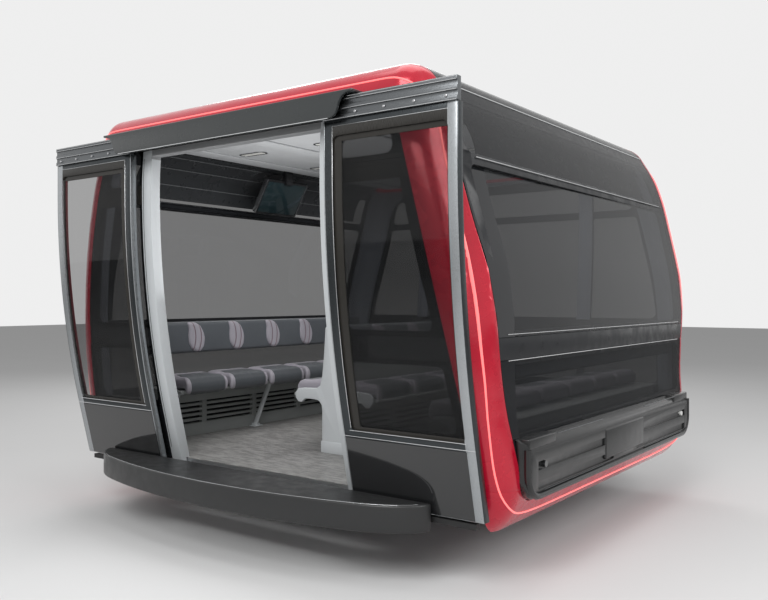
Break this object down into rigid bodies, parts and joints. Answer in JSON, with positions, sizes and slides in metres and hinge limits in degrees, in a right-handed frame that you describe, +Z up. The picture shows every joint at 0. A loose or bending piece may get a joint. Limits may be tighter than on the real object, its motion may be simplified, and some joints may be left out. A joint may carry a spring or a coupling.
{
  "type": "cable car cabin",
  "caption": "Glazed cable car cabin with sliding door leaves, benches and a roof frame that hangs from a bolted flange.",
  "frame": {"origin": "centre of the roof frame's flange, on its upper face, where the hanger bolts on", "axes": "+X along the cabin, +Y away from the doorway, +Z up"},
  "size_m": [3.748, 3.805, 2.834],
  "materials": {
    "body_black": "gloss black paint",
    "bumper_black": "gloss",
    "step_black": "satin",
    "leaf_black": "gloss",
    "hoop_red": "gloss",
    "cover_grey": "satin",
    "ceiling_white": "satin",
    "lamp_lens": "frosted",
    "frame_steel": "satin",
    "frame_aluminium": "mill",
    "rail_aluminium": "brushed",
    "floor_vinyl": "fine streaked",
    "tinted_glass": "tinted",
    "leaf_glass": "lightly tinted",
    "jamb_silver": "satin",
    "bench_grey": "satin",
    "seat_charcoal": "fine grained",
    "monitor_black": "gloss"
  },
  "bodies": {
    "cabin": {"back_rest_left": "seat_charcoal", "back_rest_right": "seat_charcoal", "bench_base_left": "bench_grey", "bench_base_right": "bench_grey", "bench_legs": "frame_steel", "bumper_left": "bumper_black", "bumper_right": "bumper_black", "ceiling_lamps": "lamp_lens", "ceiling_panel": "ceiling_white", "centre_back_rest": "seat_charcoal", "centre_bench_base": "bench_grey", "centre_bench_panel": "jamb_silver", "centre_cushions": "seat_charcoal", "cushions_left": "seat_charcoal", "cushions_right": "seat_charcoal", "door_guides": "rail_aluminium", "door_header": "body_black", "door_portal": "jamb_silver", "door_side_panes": "tinted_glass", "door_side_wall_left": "body_black", "door_side_wall_right": "body_black", "door_sill_bar": "step_black", "end_band_left": "hoop_red", "end_band_right": "hoop_red", "end_frame_left": "body_black", "end_frame_right": "body_black", "end_panes_left": "tinted_glass", "end_panes_right": "tinted_glass", "far_side_panes": "tinted_glass", "far_side_wall": "body_black", "floor_covering": "floor_vinyl", "hanger_frame": "frame_steel", "head_lamps": "lamp_lens", "hoop_door_side": "hoop_red", "hoop_far_side": "hoop_red", "monitor": "monitor_black", "pillar_covers": "cover_grey", "roof_shell": "body_black", "underframe": "frame_aluminium"},
    "door_leaf_left": {"leaf_frame_left": "leaf_black", "leaf_glass_left": "leaf_glass", "leaf_panel_left": "leaf_black", "leaf_rail_left": "rail_aluminium"},
    "door_leaf_right": {"leaf_frame_right": "leaf_black", "leaf_glass_right": "leaf_glass", "leaf_panel_right": "leaf_black", "leaf_rail_right": "rail_aluminium"}
  },
  "joints": [
    {"name": "door_slide_right", "type": "slide", "parent": "cabin", "child": "door_leaf_right", "axis": [-1, 0, 0], "range_m": [0, 0.85]},
    {"name": "door_slide_left", "type": "slide", "parent": "cabin", "child": "door_leaf_left", "axis": [1, 0, 0], "range_m": [0, 0.85]}
  ],
  "couplings": [
    {"joint": "door_slide_left", "follows": "door_slide_right", "ratio": 1}
  ]
}
